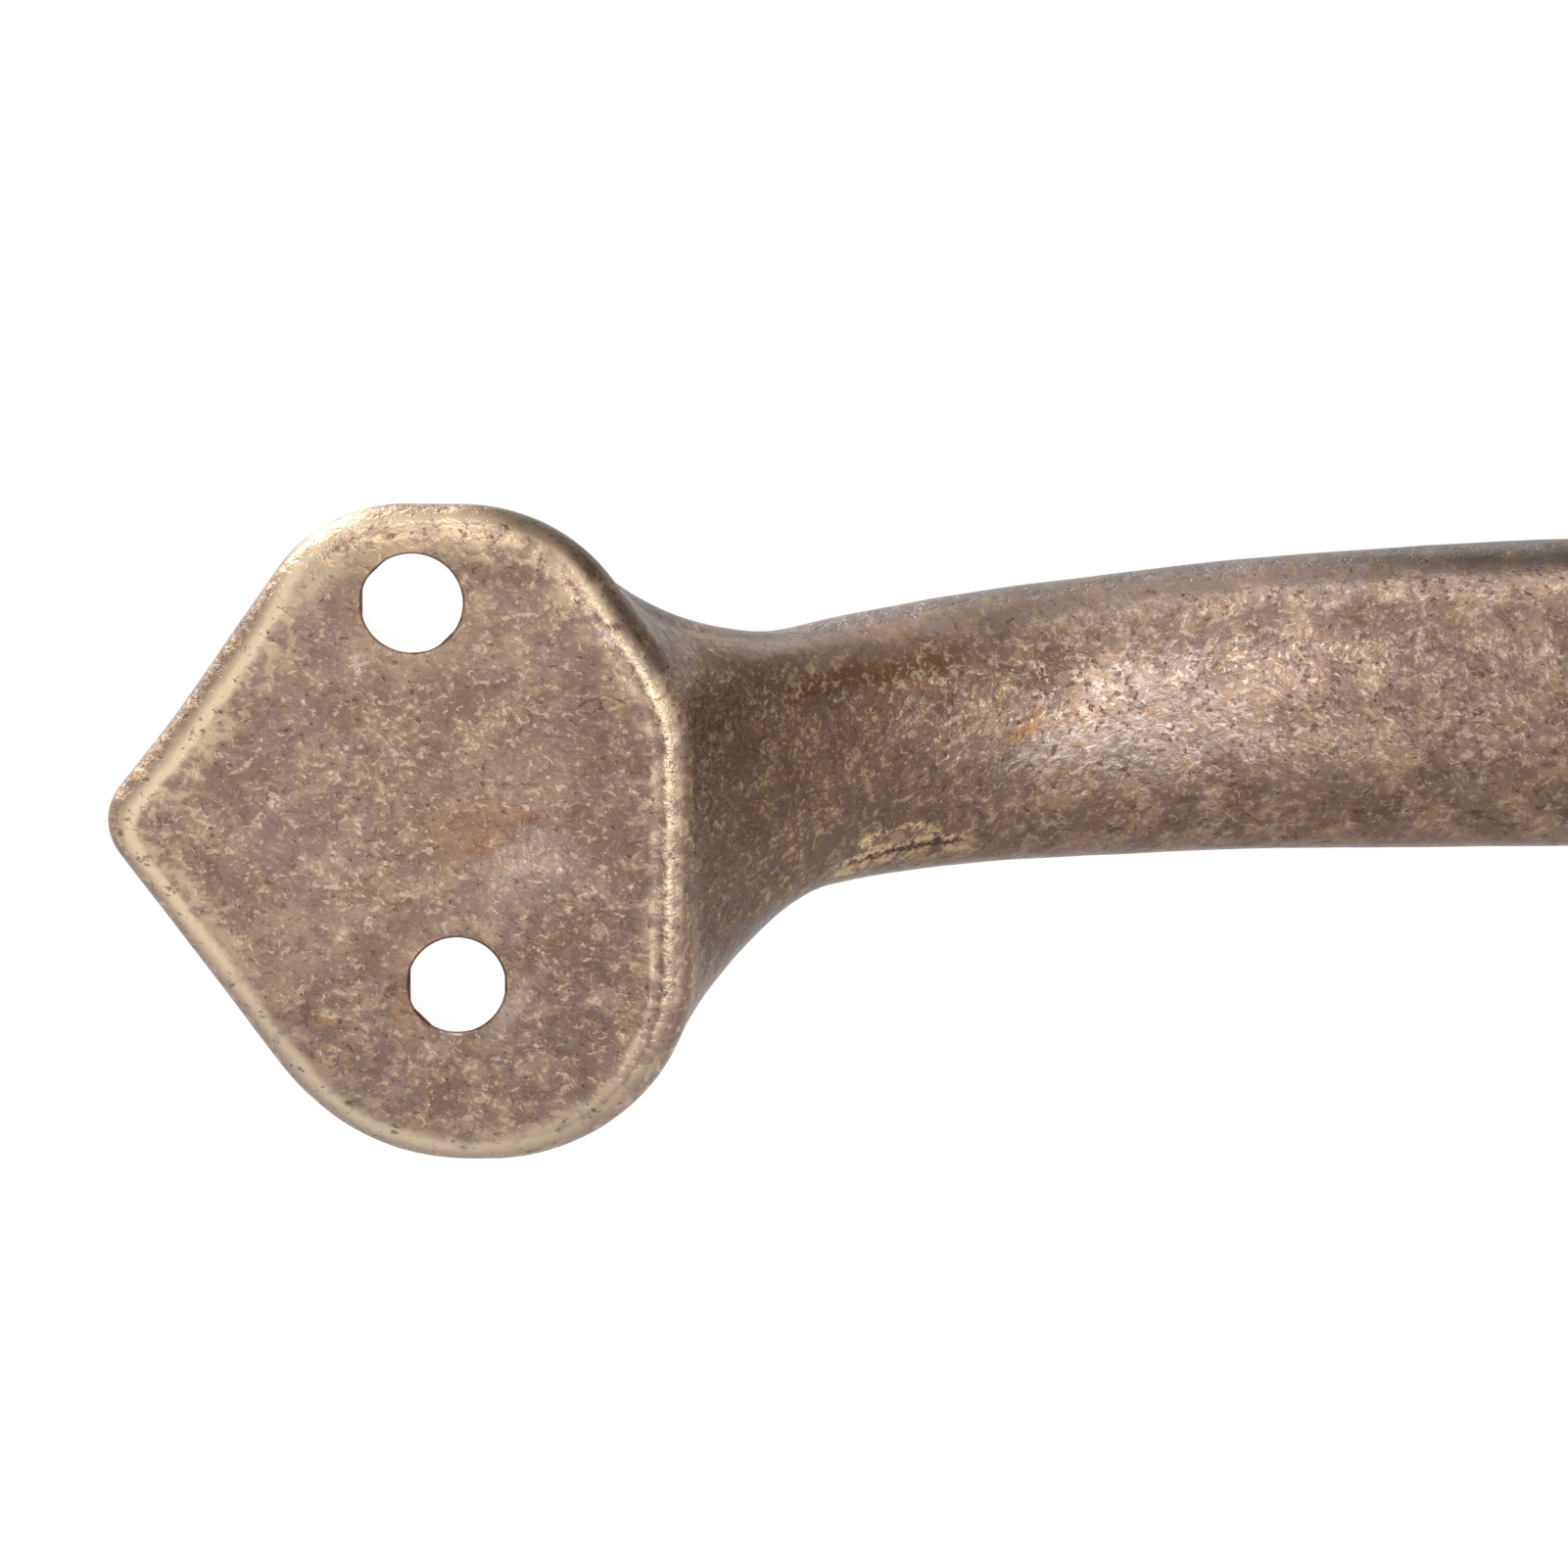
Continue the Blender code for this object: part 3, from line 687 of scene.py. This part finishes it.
def paintedShades(f, m, colour):  # painted shade: darker under the grip, over the grip, along its top, on the foot's upper outer rim, low on the foot and on its flank, and high in the grip's middle
    underShade = f.ramp(m.height, 2.5, -5.0) * (1 - f.ramp(m.along, 30.0, 37.0))
    lowSideShade = f.most(f.ramp(m.height, -4.5, -9.0) * m.onFoot, (1 - f.ramp(m.along, 42.0, 46.0)) * m.onFoot * 0.7)
    flankShade = f.ramp(m.reach, 0.25, 0.85) * f.ramp(m.height, 4.0, 8.0) * f.ramp(m.along, 38.8, 41.0) * (
        1 - f.ramp(m.along, 46.5, 49.5))
    # painted shade over the upper part of the grip's middle
    middle = (1 - f.ramp(m.along, 8.0, 17.0)) * (
        f.ramp(m.height, -1.8, 0.2) * 0.45 + f.ramp(m.height, 4.5, 5.7) * 0.55)
    for share, tone in ((underShade, "underShadeTint"), (m.onGrip, "gripShadeTint"), (m.graze, "grazeTint"),
                        (m.rimGraze, "rimOuterShadeTint"), (lowSideShade, "lowSideShadeTint"), (flankShade, "flankShadeTint"), (middle, "middleShadeTint")):
        colour = f.tint(colour, f.mix(share, patina["bare"], patina[tone]))
    return colour


def agedBrass():
    f = Finish(bpy.data.materials.new("aged_brass"))
    m = surfacePlaces(f)
    addNoises(f, m)
    addRegions(f, m)
    addRim(f, m)
    colour = wornMetal(f, m, brownCoat(f, m))
    colour = holeMarks(f, m, colour)
    colour = castingFlaw(f, m, colour)
    colour = paintedShades(f, m, colour)
    shine = f.most(m.bright, m.raised)
    dent = f.spot(m.where, *patina["dent"], m.grain.sway(0.8))

    # relief in millimetres
    fine = m.flecks * 0.06 + m.grain * 0.09 + m.dust * 0.014 + shine * 0.010
    relief = (m.clouds * 0.22 + m.blotches * 0.10 + fine * (1 - m.onGrip * 0.5)
              - m.pits * 0.015 + m.raised * 0.06 - m.crack * 0.08 - dent * 0.16)
    bump = f.add("ShaderNodeBump", {}, {"Strength": 1.0, "Distance": patina["reliefUnit"], "Height": relief})
    shader = f.add("ShaderNodeBsdfPrincipled", {}, {
        "Base Color": colour,
        "Metallic": patina["metallic"] + shine * patina["shineMetallic"],
        "Roughness": patina["roughness"] + shine * patina["shineRoughness"]
                     + m.grain.sway(patina["grainRoughness"]),
        "Specular IOR Level": patina["specular"],
        "Normal": bump,
    })
    f.add("ShaderNodeOutputMaterial", {}, {"Surface": shader})
    print("aged brass:", len(f.tree.nodes), "nodes")
    return f.owner


drilled = {"pale": (0.97, 0.95, 0.91), "paler": (0.99, 0.98, 0.95), "roughness": 0.16, "ringRoughness": 0.1}


def drilledBrass():  # clean metal in the screw holes, with the drill's rings
    f = Finish(bpy.data.materials.new("drilled_brass"))
    rings = f.noise(f.scaled(f.inMillimetres(), (0.4, 6.0, 0.4)), 1.5, 2.0, 0.5)
    shader = f.add("ShaderNodeBsdfPrincipled", {}, {
        "Base Color": f.mix(rings, drilled["pale"], drilled["paler"]), "Metallic": 1.0,
        "Roughness": drilled["roughness"] + rings * drilled["ringRoughness"]})
    f.add("ShaderNodeOutputMaterial", {}, {"Surface": shader})
    return f.owner


def holeWallFaces(mesh):
    axes = [(side * (pull["length"] / 2 - inboard), height, diameter / 2 + pull["wallSlack"])
            for side in (1, -1) for inboard, height, diameter, flats in pull["holes"]]
    return [
        face for face in mesh.polygons if abs(face.normal.y) < 0.5 and any(
            math.hypot(face.center.x - x, face.center.z - z) < radius for x, z, radius in axes)]


mesh.materials.clear()
for material in (agedBrass(), drilledBrass()):
    mesh.materials.append(material)
for face in mesh.polygons:
    face.material_index = 0
for face in holeWallFaces(mesh):
    face.material_index = 1
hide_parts("pull_casting")
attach(casting, "root")
print("casting finished")


# Stage: white world, pale floor well below the pull, two soft lamps behind it and one in front
studio = {
    "worldLight": 0.34, "floorHeight": -0.120, "floorSize": 60.0, "floorShade": 0.80,
    "floorGlow": 0.35, "floorFade": (0.15, 0.5), "floorGloss": 0.9,
    "lamps": [  # name, place, size, watts
        ("key", (-0.385, 0.555, -0.03), (0.32, 0.30), 1.15),
        ("above", (0.06, 0.32, 0.54), (0.50, 0.40), 1.18),
        ("front", (0.35, -0.60, 0.35), (0.50, 0.50), 4.0),
    ],
    "lampAim": (0.02, -0.008, 0.0),
    "aim": (0.03613, 0.0, 0.0), "rise": 0.001885, "width": 0.06353, "distance": 2.0, "elevation": 15.0,
    "sensor": 36.0, "clip": (0.01, 100.0),
}
white = (1.0, 1.0, 1.0)


def seenRays(f):  # camera rays, glossy rays, and all rays that show the background
    camera = f.add("ShaderNodeLightPath", out="Is Camera Ray")
    gloss = f.add("ShaderNodeLightPath", out="Is Glossy Ray")
    through = f.add("ShaderNodeLightPath", out="Is Transmission Ray")
    return camera, gloss, f.most(camera, gloss, through)


def buildWorld():
    f = Finish(bpy.data.worlds.new("studio"))
    direct = seenRays(f)[2]
    lit, shown = [
        f.add("ShaderNodeBackground", {}, {"Color": white, "Strength": strength})
        for strength in (studio["worldLight"], 1.0)]
    sky = f.add("ShaderNodeMixShader", {}, {0: direct, 1: lit, 2: shown})
    f.add("ShaderNodeOutputWorld", {}, {"Surface": sky})
    bpy.context.scene.world = f.owner


def paleFloor():  # plain shade near the pull, where it keeps the shadow, and white farther off
    f = Finish(bpy.data.materials.new("pale_floor"))
    camera, gloss, direct = seenRays(f)
    away = f.length(f.add("ShaderNodeTexCoord", out="Object"))
    far = f.most(f.ramp(away, *studio["floorFade"]), gloss * studio["floorGloss"])
    shade = studio["floorShade"]
    matt = f.add("ShaderNodeBsdfDiffuse", {}, {"Color": (shade, shade, shade)})
    glow = f.add("ShaderNodeEmission", {}, {"Color": white, "Strength": studio["floorGlow"]})
    full = f.add("ShaderNodeEmission", {}, {"Color": white, "Strength": 1.0})
    lifted = f.add("ShaderNodeAddShader", {}, {0: matt, 1: glow})
    near = f.add("ShaderNodeMixShader", {}, {0: camera, 1: matt, 2: lifted})
    shown = f.add("ShaderNodeMixShader", {}, {0: far, 1: near, 2: full})
    surface = f.add("ShaderNodeMixShader", {}, {0: direct, 1: matt, 2: shown})
    f.add("ShaderNodeOutputMaterial", {}, {"Surface": surface})
    return f.owner


def buildFloor():
    bpy.ops.mesh.primitive_plane_add(size=studio["floorSize"], location=(0.0, 0.0, studio["floorHeight"]))
    floor = bpy.context.object
    floor.name = "floor"
    floor.data.materials.append(paleFloor())


def buildLamps():
    aim = Vector(studio["lampAim"])
    for name, place, size, watts in studio["lamps"]:
        data = bpy.data.lights.new(name, "AREA")
        data.shape = "RECTANGLE"
        data.size, data.size_y = size
        data.energy = watts
        lamp = bpy.data.objects.new(name, data)
        lamp.location = place
        lamp.rotation_euler = (Vector(place) - aim).to_track_quat("Z", "Y").to_euler()
        lamp.visible_camera = False
        bpy.context.scene.collection.objects.link(lamp)


def buildCamera():
    lift = math.radians(studio["elevation"])
    back = Vector((0.0, math.cos(lift), math.sin(lift)))
    up = Vector((0.0, -math.sin(lift), math.cos(lift)))
    data = bpy.data.cameras.new("camera")
    data.sensor_width = studio["sensor"]
    data.lens = studio["sensor"] * studio["distance"] / studio["width"]
    data.clip_start, data.clip_end = studio["clip"]
    camera = bpy.data.objects.new("camera", data)
    camera.location = Vector(studio["aim"]) + up * studio["rise"] + back * studio["distance"]
    camera.rotation_euler = back.to_track_quat("Z", "Y").to_euler()
    bpy.context.scene.collection.objects.link(camera)
    bpy.context.scene.camera = camera


buildWorld()
buildFloor()
buildLamps()
buildCamera()
bpy.context.scene.view_settings.view_transform = "Standard"
print("stage ready")
